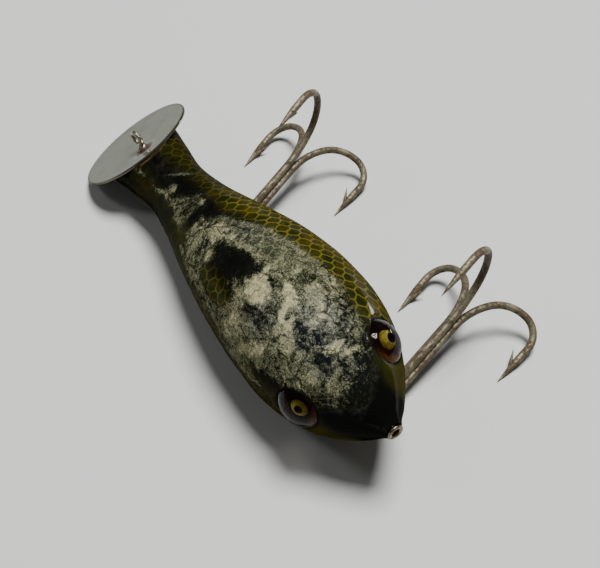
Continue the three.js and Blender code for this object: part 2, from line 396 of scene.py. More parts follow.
bareEdges = {  # where the paint has gone, between a right and a left edge in degrees
    "fromNose": [2.5, 4, 6, 8, 10, 12, 14, 16, 18, 20, 22, 26, 30, 34, 38, 42, 46, 48.5, 51, 53.5, 55, 57,
                 59, 61, 64, 67],
    "left": [-70, 0, 24, 34, 40, 43, 44, 41, 40, 41, 44, 43, 38, 35, 31, 26, 18, 4, -4, 10, 16, 12,
             -8, -12, -16, -30],
    "right": [0, -10, -30, -38, -42, -46, -56, -62, -64, -68, -74, -76, -74, -60, -58, -60, -62, -56, -48,
              -36, -34, -32, -30, -28, -24, -30],
}
keptPaint = [  # from nose, angle, half length, half width in mm, tilt: paint left inside the bare part
    (36.4, -32.5, 5.5, 3.2, 0),
    (36.4, -9.5, 5.4, 2.1, -14),
    (52.2, -6, 1.5, 3.2, 0),
    (51.6, -27, 0.6, 2, 0),
    (62, 6, 3.4, 2.6, 0),
    (18, -56, 4, 2, 0),
    (52, -38, 2, 1.6, 0),
    (55, 22, 3, 0.8, 0),
]
extraBare = [  # the same, for paint lost outside it
    (65.4, 20, 1.5, 0.25, -48),
    (66.4, 9, 0.9, 0.15, -40),
    (63.3, -9, 1, 0.9, 10),
    (34.2, -23, 0.55, 0.5, 0),
]
primerTones = [  # the same, and how much lighter or darker the primer is there
    (28.6, -9, 3, 2.3, 0, 1.15), (30.6, -7, 0.9, 0.7, 0, 0.6), (21.4, -8.6, 0.95, 0.7, 30, 1.5),
    (22.2, -3, 1.3, 0.5, 55, 0.9), (23.4, 5.5, 1.9, 1, 15, 1.1), (25.2, 8, 1.2, 0.5, 10, 0.45),
    (28.2, 4.5, 1.5, 0.4, -60, 0.55), (30.2, 3.5, 0.5, 1, 0, 0.7), (12.5, 6.5, 0.7, 1.7, 0, 1.15),
    (10.8, 18, 0.45, 1.7, 0, 0.9), (17.4, 7, 0.35, 2.1, 20, 0.6), (16, 14, 1.2, 0.8, 0, 0.1),
    (19.5, 14, 3.2, 1.5, 0, 0.35), (21, 22, 2.4, 1.5, 0, 0.35), (19, -16, 2.4, 1.6, 30, 0.75),
    (19.6, -7, 0.8, 1.3, 0, 0.6), (11.8, -21, 1.9, 1.1, 20, 0.3), (12.4, -35, 1.4, 1.9, 0, 0.3),
    (8, -22, 1, 1.6, 0, 0.05), (23.5, -46, 4.4, 1, -42, 0.65), (28.5, -44, 2.6, 2.2, 0, 0.45),
    (30, -55, 2, 1.4, 0, 0.35), (30.4, -20, 0.9, 0.9, 0, 0.35), (27, 22.5, 1.4, 1, 0, 0.4),
    (29.8, 21, 1.5, 1, 0, 0.35), (23, 37, 2.4, 0.8, 0, 0.45), (34.5, 18, 1.6, 1, 0, 0.25),
    (38, 5, 4.4, 0.8, -8, 0.3), (33.5, 6, 2.2, 0.7, 0, 0.45), (45, -3, 1.8, 2.0, 0, 0.7),
    (42.6, 3, 1.8, 1, 0, 0.6), (46, 8, 1.3, 1, 0, 0.15), (47.3, -24, 1.8, 3.2, 0, 0.35),
    (42, -25, 0.8, 1.8, 0, 0.55), (42.4, -45, 1.2, 1.4, 0, 0.25), (52.3, -17, 0.6, 0.6, 0, 0.75),
    (56, -2, 2.1, 2.5, 0, -0.15), (54.4, 11, 0.6, 0.9, 0, 0.5), (59.6, -21, 1.7, 1.3, 0, 0.2),
    (52, 3, 0.9, 0.6, 0, 0.35), (11.6, -8.5, 1.7, 1.3, 0, -0.64), (17.4, -6, 1.9, 1.1, 25, -0.64),
    (15, -12, 1.2, 1, 0, -0.34), (15.5, 4, 1.2, 1.3, 0, -0.3), (14, 20, 1.7, 0.9, 0, -0.38),
    (25.5, -23, 3.8, 1.3, 0, -0.56), (23.5, -12, 1.9, 2, 0, -0.22), (20.6, -21, 1.6, 0.9, 0, -0.26),
    (7.5, 12, 3, 3.4, 0, -0.5), (5.4, -12, 1.8, 3.4, 0, -0.45), (9.4, -34, 1.6, 1.6, 0, -0.22),
    (12.6, 30, 3, 1.6, 0, 0.2), (35, -11, 6.4, 3.4, -8, -0.52), (30.5, -3, 1.6, 1.2, 0, -0.3),
    (53, -4, 2.6, 5, 0, -0.38), (60, -18, 3, 2, 0, -0.22), (24.6, 22, 1.7, 1.2, 0, -0.45),
    (9, 36, 3.4, 2.2, 0, -0.35), (5, 14, 2.6, 3.8, 0, -0.8), (16.4, -46, 2, 1.8, 0, -0.34),
    (31.5, 2, 1, 1, 0, -0.38), (35, 12, 4, 0.7, -10, -0.34), (27.5, 12.5, 2, 0.8, 0, -0.26),
    (44, 15, 3, 0.8, 0, -0.22), (36, 26, 2.6, 1, 0, -0.22), (50, -2, 1.4, 2.4, 0, -0.3),
    (56, 0, 2.4, 2.6, 0, -0.45), (46.5, -19, 2.6, 2.4, 0, -0.3), (42, 10, 6, 2.4, -6, -0.28),
    (29, -7, 2.6, 2, 0, 0.15), (27.4, 0.5, 1.6, 1.2, 0, -0.7), (11, 24, 1.4, 1.3, 0, -0.6),
    (33.6, 15, 2.4, 1.8, -8, -0.42), (13.8, 26, 2.1, 1.6, 0, -0.45), (17.2, 36, 1.9, 1.3, 0, -0.45),
    (37.4, 22, 2.4, 1.4, 0, -0.4), (43.4, -11, 1.4, 1.4, 0, -0.35), (26, -11.5, 1, 1.3, 0, -0.35),
    (30.8, 27, 2, 1.5, 0, -0.35), (31.8, 4.5, 1.1, 0.9, 0, -0.4), (40.5, 18, 2, 1.4, 0, -0.3),
    (12.6, -1, 1.6, 1.1, 0, -0.35), (17.5, 19, 1.6, 1.5, 0, 0.4), (16.3, 8, 1.1, 0.8, 0, 0.35),
    (23.5, 19, 1.8, 1.3, 0, 0.3), (19.2, 29, 1.6, 1.2, 0, 0.25), (13.9, -39, 1.6, 1.2, 0, 0.3),
    (6.9, -40, 1.4, 1, 0, 0.4), (19.8, -29, 1.6, 1.3, 0, 0.25), (26.8, 10, 1.2, 1.1, 0, 0.3),
    (33.4, 11, 1.6, 0.7, 0, 0.4), (29.5, -48, 1.8, 1.6, 0, 0.25), (41.8, -6, 1.6, 1.2, 0, -0.4),
    (6.4, -3, 1.6, 1.2, 0, 0.45), (15.3, -2, 1.2, 0.9, 0, -0.45), (57, -22.5, 1.5, 1.3, 0, -0.3),
    (33.2, 18.5, 1.8, 1.2, 0, -0.35), (25.6, 4, 0.8, 0.8, 0, -0.3), (10.4, -21, 1.2, 1, 0, -0.3),
    (43.6, -31, 1.4, 1.2, 0, -0.3), (25.9, -4.8, 1.1, 1.4, 0, -0.5), (15.5, 10, 1.2, 0.7, 40, -0.3),
    (22.5, 15, 1.5, 1.2, 0, -0.3), (44.6, -36, 0.8, 2.6, 0, -0.26),
]
coolTones = [  # where the primer is a cool grey instead of cream
    (16.5, 8, 5.5, 4.6, 0, 1),
    (24.5, -17, 3.4, 3.6, 0, 0.7),
    (11.5, -6, 2.4, 2.4, 0, 0.8),
    (8, 16, 3, 3, 0, 0.6),
    (40, 14, 5, 2, 0, 0.35),
    (65.5, 18, 2, 2, 0, 1),
]
blackEdges = {  # the black back, between a right and a left edge in degrees
    "fromNose": [0, 2, 3.2, 5, 8, 11, 16, 20, 30, 42, 46, 50, 56, 61, 65, 69, 72, 76, 90],
    "left": [200, 150, 70, 48, 34, 31, 30, 30, 24, 22, 21, 21, 24, 29, 26, 19, 15, 14, 14],
    "right": [-200, -150, -95, -85, -62, -60, -58, -54, -34, -24, -22, -20, -22, -27, -22, -16, -12, -12,
              -12],
}


def closeness(place, s, a, width):  # how far inside an oval patch each point is, in mm
    s0, a0, length, wide, turn = place[:5]
    u = s - s0
    v = (a - rad(a0)) * width
    c = math.cos(rad(turn))
    d = math.sin(rad(turn))
    q = np.hypot((u * c + v * d) / length, (v * c - u * d) / wide)
    return (1 - q) * min(length, wide), q


def between(edges, s, a, width):  # how far inside both edges each point is, in mm
    left = np.interp(s, edges["fromNose"], edges["left"])
    right = np.interp(s, edges["fromNose"], edges["right"])
    return np.minimum(rad(1) * left - a, a - rad(1) * right) * width


def primerShade(s, a, width, p):
    shade = np.zeros_like(s)
    ragged = fractal(p / 1.1, 3, 37) * 0.3
    for place in primerTones:
        q = closeness(place, s, a, width)[1] + ragged
        edge = 0.22 if place[5] > 0.5 else 0.5  # bright flakes end sharply
        shade = shade + place[5] * np.clip((1.15 - q) / edge, 0, 1)
    return shade


def primerCool(s, a, width):
    cool = np.zeros_like(s)
    for place in coolTones:
        q = closeness(place, s, a, width)[1]
        cool = np.maximum(cool, place[5] * np.clip(1.5 - q, 0, 1))
    return cool


def fromEyes(p):  # distance from the axis of the nearer eye
    eyes = np.full(p.shape[:-1], 9.0)
    for side in ("left", "right"):
        place, axis = eyeSeat(side)
        offset = p - place
        height = offset @ axis
        flat = offset - height[..., None] * axis
        eyes = np.minimum(eyes, np.linalg.norm(flat, axis=-1) + np.maximum(0, -height - 3) * 9)
    return eyes


def wearFields(s, a):  # numbers for the paint, at each point of the skin
    width = (halfWidth(s) + halfHeight(s)) / 2
    p = skin(s, a)
    ragged = fractal(p / 3.2, 4, 11) * 0.62 + fractal(p / 1.0, 2, 23) * 0.28
    bare = between(bareEdges, s, a, width)
    for place in keptPaint:
        bare = np.minimum(bare, -closeness(place, s, a, width)[0])
    for place in extraBare:
        bare = np.maximum(bare, closeness(place, s, a, width)[0] * 2.5)
    bare = np.clip(bare, -4, 4) + ragged * 1.1
    eyes = fromEyes(p)
    black = between(blackEdges, s, a, width) + fractal(p / 5, 3, 51) * 0.7
    return {
        "bare": np.minimum(bare, (eyes - 4.3) * 1.2 + ragged * 0.5),
        "shade": primerShade(s, a, width, p),
        "cool": primerCool(s, a, width),
        "black": np.clip(black, -6, 6),
        "eyes": eyes,
        "nearEnd": (p - woodFace) @ plateOut,
        "along": s,
        "across": a * width,
        "degrees": a * 180 / np.pi,
    }


def reliefOf(fields, p):  # worn paint lies lower, flakes stand proud, in mm
    lost = smoothStep(np.clip(fields["bare"] / 0.5 + 0.5, 0, 1))
    flakes = np.clip(fields["shade"] - 0.6, 0, 0.6) * lost
    grain = fractal(p / 1.3, 3, 71) * (0.018 + 0.03 * lost) + fractal(p / 9, 2, 83) * 0.05
    return -0.09 * lost + 0.09 * flakes + grain


bodyPaint = {
    "cell": tone(0.009, 0.012, 0.001),
    # lighter cells at random, and also the painted reflection on the flanks beside the nose
    "cellLightAndReflection": tone(0.036, 0.03, 0.002),
    "netLine": tone(0.118, 0.102, 0.013),
    "netAmber": tone(0.1, 0.064, 0.006),
    "flank": tone(0.016, 0.02, 0.003),
    "belly": tone(0.15, 0.12, 0.03),
    "black": tone(0.0022, 0.0024, 0.0018),
    "primerDark": tone(0.007, 0.008, 0.004),
    "primerGrey": tone(0.068, 0.075, 0.044),
    "primerPale": tone(0.215, 0.218, 0.13),
    "primerCream": tone(0.56, 0.52, 0.295),
    "coolDark": tone(0.008, 0.01, 0.011),
    "coolGrey": tone(0.078, 0.087, 0.077),
    "coolPale": tone(0.245, 0.238, 0.195),
    "ghost": tone(0.2, 0.195, 0.11),
    "dust": tone(0.018, 0.015, 0.011),
    "haze": tone(0.026, 0.028, 0.02),
    "wood": tone(0.03, 0.017, 0.008),
    "woodPale": tone(0.11, 0.078, 0.042),
    "scaleLength": 3.3,  # two rows of scales along the body, in mm
    "scaleHeight": 2.7,
    "linkLength": 0.85,
    "netPhase": (0.27, 0.34),
    "lineWidth": 0.125,
    "rough": 0.32,
    "roughBare": 0.2,  # how much rougher the primer is
    "coat": 0.36,  # of gloss on the kept paint that faces up
    "coatAround": 0.05,
}


def bodyFields(paint):  # what the mesh carries, noise of several sizes about zero, and where things are
    f = SimpleNamespace(place=paint.place())
    for title in ("bare", "shade", "cool", "black", "eyes", "nearEnd", "along", "across", "degrees"):
        setattr(f, title, paint.field(title))
    f.large = paint.noise(f.place, 0.3, 4) - 0.5
    f.middle = paint.noise(f.place, 1.1, 4, 0.6) - 0.5
    f.grain = paint.noise(f.place, 2.6, 4, 0.8) - 0.5
    f.small = paint.noise(f.place, 3.4, 3, 0.65) - 0.5
    f.grit = paint.noise(f.place, 4.6, 3, 0.8) - 0.5
    f.fine = paint.noise(f.place, 9, 2, 0.6) - 0.5
    bend = {0: paint.noise(f.place, 0.5, 3, 0.5, "Color"), 1: (2.4, 2.4, 2.4), 2: f.place}
    f.bent = paint.node("VectorMath", {"operation": "MULTIPLY_ADD"}, bend)
    f.bareMask = (f.bare * 0.8 + f.middle * 0.9 + f.small * 1.7 + f.fine * 0.8 + f.grit).smooth(-0.25, 0.25)
    f.keptMask = 1 - f.bareMask
    f.blackMask = (f.black + f.middle * 2.2 + f.small * 1.2).smooth(-2.4, 1.6)
    threads = paint.noise(f.bent, 2.6, 3, 0.6)
    f.darkThreads = threads.near(0.46, 0.006, 0.026)
    f.paleThreads = threads.near(0.56, 0.004, 0.02)
    f.cracks = crackLines(paint, f)
    return f


def crackLines(paint, f):  # long cracks in some places, and a finer net of them in others
    long = (1 - paint.cells(f.bent, 0.19).smooth(0.008, 0.035))
    long = long * (paint.noise(f.place, 0.12, 1) - 0.5 + f.large * 0.5).smooth(-0.12, 0.08)
    short = (1 - paint.cells(f.bent, 0.75).smooth(0.02, 0.1)) * (f.middle + f.large).smooth(-0.1, 0.35)
    return long.math("MAXIMUM", short * 0.75) * f.bareMask


def scaleLines(paint, f):  # lines around six-sided scales, which lie in two rows half a scale apart
    look = bodyPaint
    length = look["scaleLength"]
    height = look["scaleHeight"]
    width = look["lineWidth"]
    warpAlong = (paint.noise(f.place, 0.22, 2) - 0.5) * 1.6
    warpAcross = (paint.noise(paint.stretch(f.place, (1, -1, 1)), 0.27, 2) - 0.5) * 1.4
    u = (f.along + warpAlong) / length + look["netPhase"][0]
    v = (f.across + warpAcross) / height + look["netPhase"][1]
    half = height / 2
    run = length / 2 - look["linkLength"]
    reach = math.hypot(half, run)
    corner = (length - look["linkLength"]) / 2

    def insideCell(add):  # how far inside the nearest cell of one row a point is
        du = u + add
        dv = v + add
        x = ((du - du.math("ROUND")) * length).math("ABSOLUTE")
        y = ((dv - dv.math("ROUND")) * height).math("ABSOLUTE")
        slant = (corner - x) * (half / reach) - y * (run / reach)
        return slant.math("MINIMUM", half - y)

    toEdge = insideCell(0.0).math("MAXIMUM", insideCell(0.5))
    return 1 - (toEdge + f.fine * 0.1 + f.small * 0.12).smooth(width * 0.3, width * 1.9)


def fadedNet(f, lines):  # the net fades over the back and the right flank, and towards the tail
    zone = (84 - f.large * 40 - f.degrees.math("ABSOLUTE")).smooth(-14, 14) * f.along.smooth(12.4, 13.6)
    patchy = (f.large * 1.3 + f.middle * 0.8 + 0.85).smooth(0.1, 0.85)
    fading = 1 - (1 - f.degrees.smooth(-60, -8)) * 0.7 - f.along.smooth(43, 58) * 0.45
    rightTail = f.along.smooth(42, 52) * (1 - f.degrees.smooth(-20, 0))
    return lines * zone * patchy * fading * (1 - rightTail * 0.75)


def keptColour(paint, f, net):  # green flanks with the net and a painted reflection on them beside the nose, a pale belly, and a black back and nose
    look = bodyPaint
    side = f.degrees.math("ABSOLUTE")
    light = (f.large * 1.6 + f.middle * 0.9 + 0.5).smooth(0.25, 0.9)
    netTone = paint.mix((f.large * 2 + 0.5).smooth(0.2, 1), look["netLine"], look["netAmber"])
    return paint.cover(
        look["cell"],
        (light, look["cellLightAndReflection"]),
        ((side + f.large * 30).smooth(95, 150), look["flank"]),
        ((side + f.large * 30).smooth(125, 172), look["belly"]),
        # painted reflection: the flanks beside the nose are made lighter olive, standing in for the floor
        # mirrored in the gloss
        ((14 - f.along).smooth(0, 8) * side.smooth(40, 75) * 0.5, look["cellLightAndReflection"]),
        (net * 0.85, netTone),
        (f.along.smooth(48, 66) * 0.55, look["black"]),
        (f.blackMask, look["black"]),
    )


def primerLevel(paint, f):  # how light the primer is: dark below 0, cream above 0.6
    noseFade = (1 - f.bare.smooth(0, 2.4)) * (1 - f.along.smooth(11, 17))
    edgeFade = 1 - f.bare.smooth(-0.2, 0.9)
    flakes = paint.axes(paint.cells(f.bent, 0.95, "F1", "Color"))[0] - 0.5
    chips = paint.axes(paint.cells(f.bent, 1.9, "F1", "Color"))[1] - 0.5
    streaks = paint.noise(paint.stretch(f.place, (4.5, 0.7, 0.7)), 1, 3, 0.65) - 0.5
    level = f.shade * 0.82 + f.large * 0.45 + f.middle * 0.5 + f.grain * 1.9 + f.grit * 1.5
    level = level + flakes * 0.6 + chips * 0.45 + streaks * f.along.smooth(33, 42) * 2 - 0.05
    return level - noseFade * 0.5 - edgeFade * 0.15


def primerColour(paint, f, lines):
    look = bodyPaint
    level = primerLevel(paint, f)
    cream = look["primerCream"]
    deep = paint.mix(f.cool, look["primerDark"], look["coolDark"])
    grey = paint.mix(f.cool, look["primerGrey"], look["coolGrey"])
    pale = paint.mix(f.cool, look["primerPale"], look["coolPale"])
    veins = paint.noise(f.bent, 1.5, 4, 0.7)
    darkVeins = veins.near(0.5, 0.004, 0.03) * (f.middle * 2 + 0.6).smooth(0, 1)
    paleVeins = veins.near(0.6, 0.002, 0.016) * (0.7 - f.middle * 2 + f.shade * 0.3).smooth(0, 1)
    ghostZone = f.degrees.smooth(4, 16) * f.along.smooth(24, 34) * (1 - f.along.smooth(48, 54))
    ghostNet = lines * (f.middle * 1.4 + f.large + 0.7).smooth(0.1, 0.8)  # the net's print in the primer
    crisp = paint.noise(f.place, 4.4, 2, 0.75) - 0.5
    specks = (crisp + f.small * 0.5 - f.shade * 0.02).smooth(0.05, 0.12)
    glints = (0 - crisp - f.small * 0.4).smooth(0.05, 0.13) * (level + 0.55).smooth(0, 0.6)
    colour = paint.cover(
        deep,
        (level.smooth(-0.5, -0.16), grey),
        (level.smooth(0.0, 0.34), pale),
        (level.smooth(0.45, 0.85), cream),
        (darkVeins * 0.75, deep),
        (paleVeins * 0.6, cream),
        (ghostZone * 0.6, grey),
        (ghostNet * ghostZone * 0.8, look["ghost"]),
        (f.darkThreads * (0.5 - f.large * 2).smooth(0, 1) * 0.75, deep),
        (f.paleThreads * (level + 0.7).smooth(0, 0.8) * 0.5, cream),
        (specks * 0.5, deep),
        (glints * 0.45, cream),
        (f.cracks * 0.8, deep),
    )
    return colour, grey


def grimed(paint, f, colour, grey):  # haze, scuffs and dust on the kept paint
    look = bodyPaint
    haze = (f.bare + 2.4 + f.middle * 2).smooth(0, 2.4) * (1 - f.along.smooth(12, 20) * 0.75) * f.keptMask
    scuffs = (f.grain * 1.6 + f.grit * 1.4 + f.bare * 0.13).smooth(0.18, 0.38) * f.keptMask
    dusty = (f.large * 1.6 + f.middle + 0.5).smooth(0.3, 0.9) * f.along.smooth(62, 70) * f.keptMask
    return paint.cover(
        colour,
        (haze * (f.middle * 2 + f.small + 0.45).smooth(0, 1) * 0.8, look["haze"]),
        (scuffs * 0.75, grey),
        (dusty * f.blackMask * 0.6, look["dust"]),
    )


def endWood(paint, f):  # bare wood of the slanted end, with its growth rings
    look = bodyPaint
    inputs = {0: f.place, 1: tuple(plateUp)}
    dot = paint.node("VectorMath", {"operation": "DOT_PRODUCT"}, inputs, "Value")
    up = dot - float(plateFace @ plateUp)
    across = paint.axes(f.place)[1]
    layer = {0: distance(up, across) * 5, 1: across * 0.5, 2: up * 0.5}
    rings = paint.noise(paint.node("CombineXYZ", None, layer), 1, 3, 0.6)
    pale = (rings.smooth(0.5, 0.68), look["woodPale"])
    return paint.cover(look["wood"], pale, (1 - rings.smooth(0.36, 0.46), look["black"]))


def makeBodyPaint():
    look = bodyPaint
    paint = Paint("bodyPaint", IOR=1.5, Specular_IOR_Level=0, Coat_Roughness=0.08)
    f = bodyFields(paint)
    lines = scaleLines(paint, f)
    net = fadedNet(f, lines)
    primer, grey = primerColour(paint, f, lines)
    colour = paint.mix(f.bareMask, keptColour(paint, f, net), primer)
    colour = grimed(paint, f, colour, grey)
    atEnd = (f.nearEnd + f.small * 0.3).smooth(-0.14, -0.02)
    aroundEye = 1 - (f.eyes + f.small * 0.3).smooth(3.9, 4.6)
    colour = paint.cover(colour, (atEnd, endWood(paint, f)), (aroundEye * 0.9, look["black"]))
    paint.drive("Base Color", colour)
    roughBare = f.bareMask * (look["roughBare"] + f.middle * 0.4 + f.grain * 0.4)
    paint.drive("Roughness", roughBare + look["rough"] + f.small * 0.1)
    facing = f.degrees.smooth(-45, -15) * (1 - f.degrees.smooth(54, 74))
    facing = facing * (1 - f.degrees.smooth(38, 56) * f.along.smooth(19, 26))
    facing = facing * (1 - f.along.smooth(30, 46) * 0.85)
    paint.drive("Coat Weight", f.keptMask * (facing * look["coat"] + look["coatAround"]))
    relief = f.grain * 0.28 + f.grit * 0.12 + f.paleThreads * 0.03 - f.darkThreads * 0.05 - 0.06
    lift = f.bareMask * relief - f.cracks * 0.07 + net * 0.015
    paint.bump(lift + f.keptMask * (f.middle * 0.05 + f.small * 0.012))
    return paint.material


plateLook = {
    "metal": tone(0.36, 0.37, 0.335),
    "dull": tone(0.22, 0.226, 0.195),
    "grazing": tone(0.29, 0.3, 0.27),
    "stain": tone(0.1, 0.07, 0.04),
    "rust": tone(0.05, 0.019, 0.007),
    "edge": tone(0.06, 0.045, 0.028),
    "metalShare": 0.82,
    "stainAt": (-8.2, 6),
}


def makePlatePaint():
    look = plateLook
    paint = Paint("plateMetal", Specular_Tint=look["grazing"])
    place = paint.place()
    x, y = paint.axes(place)[:2]
    cloud = paint.noise(place, 0.22, 4) - 0.5
    grit = paint.noise(place, 2.6, 4, 0.65) - 0.5
    fine = paint.noise(place, 9, 3, 0.6) - 0.5
    brushed = paint.noise(paint.stretch(place, (0.25, 9, 1)), 1, 3, 0.7) - 0.5
    scratches = (paint.noise(paint.stretch(place, (0.5, 14, 1)), 1.3, 2) - 0.5).smooth(0.2, 0.24)
    fromTie = distance(x - slantedEnd["tieUp"], y - slantedEnd["tieLeft"]) + grit * 1.6 + cloud * 2
    stainX, stainY = look["stainAt"]
    fromStain = distance((x - stainX) * 0.55, (y - stainY) * 0.3) + grit * 0.9 + cloud * 1.2
    stain = (1 - fromStain.smooth(0.3, 1.5)) * 0.6
    rust = (1 - fromTie.smooth(1.5, 2.9)) * 0.95
    spots = (grit + fine * 0.5).smooth(0.26, 0.36) * 0.6
    edge = slantedEnd["radius"]
    rim = (distance(x, y) + grit * 0.25).smooth(edge - 0.5, edge - 0.05)
    colour = paint.cover(
        look["metal"],
        ((cloud * 1.4 + brushed * 0.5 + 0.3).smooth(0.2, 0.9), look["dull"]),
        (scratches * 0.6, look["edge"]),
        (stain, look["stain"]),
        (rust, look["rust"]),
        (spots, look["edge"]),
        (rim * 0.8, look["edge"]),
    )
    paint.drive("Base Color", colour)
    paint.drive("Metallic", (1 - rust.math("MAXIMUM", stain * 0.5)) * look["metalShare"])
    rough = 0.09 + brushed * 0.12 + scratches * 0.12 + rust * 0.5 + spots * 0.3
    paint.drive("Roughness", rough + stain * 0.25 + cloud * 0.1)
    paint.bump(brushed * 0.01 + scratches * -0.015 + rust * (grit * 0.25 + 0.06) + cloud * 0.03)
    return paint.material


def makeWirePaint(name, look):  # old metal: bright where it is rubbed, brown, rusty and pitted elsewhere
    paint = Paint(name)
    place = paint.place()
    cloud = paint.noise(place, 0.3, 4) - 0.5
    grit = paint.noise(place, 1.7, 5, 0.65) - 0.5
    fine = paint.noise(place, 7, 3, 0.65) - 0.5
    drawn = paint.noise(paint.stretch(place, (0.5, 4, 4)), 1.6, 3) - 0.5
    worn = (cloud + grit * 0.9 + 0.1).smooth(-0.18, 0.24)
    rust = (grit + cloud * 0.6 + fine * 0.5 - look["clean"]).smooth(0.06, 0.2)
    pits = (fine + grit * 0.4).smooth(0.18, 0.3)
    coats = (worn, look["brown"]), (rust * 0.9, look["rust"]), (pits * 0.7, look["dark"])
    paint.drive("Base Color", paint.cover(look["bright"], *coats))
    paint.drive("Metallic", (1 - rust * 0.75) * look["metal"])
    paint.drive("Roughness", look["rough"] + rust * 0.3 + grit * 0.35 + drawn * 0.2)
    paint.bump(rust * 0.03 + pits * -0.035 + drawn * 0.03 + grit * 0.03)
    return paint.material


hookLook = {
    "bright": tone(0.205, 0.18, 0.115),
    "brown": tone(0.09, 0.074, 0.042),
    "rust": tone(0.06, 0.034, 0.015),
    "dark": tone(0.016, 0.012, 0.008),
    "metal": 0.6,
    "clean": -0.06,
    "rough": 0.56,
}
tieLook = {
    "bright": tone(0.48, 0.46, 0.37),
    "brown": tone(0.22, 0.2, 0.14),
    "rust": tone(0.11, 0.045, 0.02),
    "dark": tone(0.03, 0.022, 0.015),
    "metal": 1,
    "clean": 0.06,
    "rough": 0.38,
}
cupLook = {
    "bright": tone(0.38, 0.32, 0.22),
    "brown": tone(0.13, 0.095, 0.055),
    "rust": tone(0.07, 0.035, 0.02),
    "dark": tone(0.02, 0.014, 0.01),
    "metal": 1,
    "clean": 0,
    "rough": 0.3,
}
plateMaterial = makePlatePaint()
hookMaterial = makeWirePaint("hookSteel", hookLook)
tieMaterial = makeWirePaint("tieSteel", tieLook)
cupMaterial = makeWirePaint("cupBrass", cupLook)
bodyMaterial = makeBodyPaint()


floorLook = {
    "dark": tone(0.5, 0.5, 0.49),
    "light": tone(0.54, 0.54, 0.53),
    "rough": 0.75,
    "across": 4,  # metres
}


def makeFloorPaint():
    paint = Paint("floorPaint", Roughness=floorLook["rough"])
    place = paint.node("TexCoord", None, None, "Object")
    paint.drive("Base Color", paint.mix(paint.noise(place, 6, 2), floorLook["dark"], floorLook["light"]))
    return paint.material


floorMaterial = makeFloorPaint()


# Body

eyeFloor = {
    "outer": 5.0,  # the skin levels out from here
    "slope": 1.15,
    "under": 0.12,
    "depth": -1.3,
}
noseBore = [(-2.1, 1.22), (-0.12, 1.22), (0.0, 1.3)]  # place along the length, radius
endShares = [0.985, 0.8, 0.5, 0.2]  # rings across the slanted end


def bodyGrid():  # distance from the nose and angle from the back, ring by ring
    around = bodyShape["around"]
    angles = 2 * np.pi * np.arange(around) / around
    angles = np.where(angles > np.pi, angles - 2 * np.pi, angles)
    rows = bodyShape["along"]
    slantFrom = bodyShape["slantFrom"]
    even = np.concatenate([[0, 0.12, 0.28, 0.48, 0.72], np.linspace(1, slantFrom, rows // 2)])
    share = np.linspace(0, 1, rows - len(even) + 1)[1:]
    slanted = slantFrom + share[:, None] * (endOfSkin(angles) - slantFrom)[None]
    s = np.vstack([np.repeat(even[:, None], around, 1), slanted])
    return s, np.repeat(angles[None], len(s), 0)


def seatForEyes(surface):  # levels the skin around each eye and sinks it under the glass
    for side in ("left", "right"):
        place, axis = eyeSeat(side)
        offset = surface - place
        height = offset @ axis
        away = np.linalg.norm(offset - height[..., None] * axis, axis=-1)
        near = (np.abs(height) < 5) & (away < eyeFloor["outer"] + 0.2)
        seat = -eyeShape["rim"] - eyeFloor["under"]
        share = smoothStep(np.clip((eyeFloor["outer"] - away) / eyeFloor["slope"], 0, 1))
        wanted = height + (seat - height) * share
        wanted = np.where(away < eyeShape["radius"] - 0.15, eyeFloor["depth"], wanted)
        surface = np.where(near[..., None], surface + (wanted - height)[..., None] * axis, surface)
    return surface


def buildBody():
    s, a = bodyGrid()
    base = skin(s, a)
    out = skinNormal(np.maximum(s, 0.03), a)
    fields = wearFields(s, a)
    keep = np.clip((fields["eyes"] - 3.9) / 0.5, 0, 1) * np.clip(s / 1.5, 0, 1)
    keep = keep * np.clip(-fields["nearEnd"] / 0.6, 0, 1)
    surface = seatForEyes(base + out * (reliefOf(fields, base) * keep)[..., None])
    bore = [np.stack([np.full(len(a[0]), x), r * np.sin(a[0]), r * np.cos(a[0])], -1) for x, r in noseBore]
    last = surface[-1]
    middle = last.mean(0)
    end = [middle + (last - middle) * share for share in endShares]
    rings = np.concatenate([bore, surface, end])

    def spread(values):  # the bore and the slanted end carry the values of the ring beside them
        return np.concatenate([values[:1]] * len(bore) + [values] + [values[-1:]] * len(end))

    spreadFields = {title: spread(values) for title, values in fields.items()}
    return (rings.reshape(-1, 3), ringFaces(len(rings), bodyShape["around"])), spreadFields


bodyPart, bodyNumbers = buildBody()
body = placePiece("lureBody", bodyPart, lying, bodyMaterial, 40, bodyNumbers)
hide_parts("body")
print("body made", len(bodyPart[1]))


# Glass eyes


def basis(out, place, up=(1, 0, 0)):  # stands a piece on the lure, its +Z out and its +X towards up
    z = Vector(out).normalized()
    x = Vector(up) - z * z.dot(Vector(up))
    x.normalize()
    y = z.cross(x)
    m = Matrix((x, y, z)).transposed().to_4x4()
    m.translation = Vector(place) * mm
    return lying @ m


eyeLook = {
    "irisRadius": {"left": 1.5, "right": 1.4},
    "irisHeight": {"left": 1.15, "right": 0.7},
    "bedDepth": {"left": -0.62, "right": -0.95},
    "pupilRadius": {"left": 0.8, "right": 0.68},
    "pupilHeight": 0.34,
    "irisShift": {"left": (0, 0), "right": (0.25, 0.3)},
    "pupilShift": {"left": (0, 0), "right": (0.38, 0.46)},
    "glass": tone(1, 0.93, 0.8),
    "glassIor": 1.19,  # low, to keep the edges of the eyes dark
    "bed": tone(0.007, 0.003, 0.002),
    "bedGlow": tone(0.05, 0.018, 0.003),
    "iris": tone(0.125, 0.1, 0.01),
    "irisPale": tone(0.26, 0.225, 0.06),
    "pupil": tone(0.002, 0.002, 0.003),
}


def makeGlass():
    glass = {"Base_Color": eyeLook["glass"], "Transmission_Weight": 1, "Roughness": 0.02}
    paint = Paint("eyeGlass", IOR=eyeLook["glassIor"], **glass)
    paint.bump(paint.noise(paint.place(), 0.9, 2) * 0.006)
    return paint.material


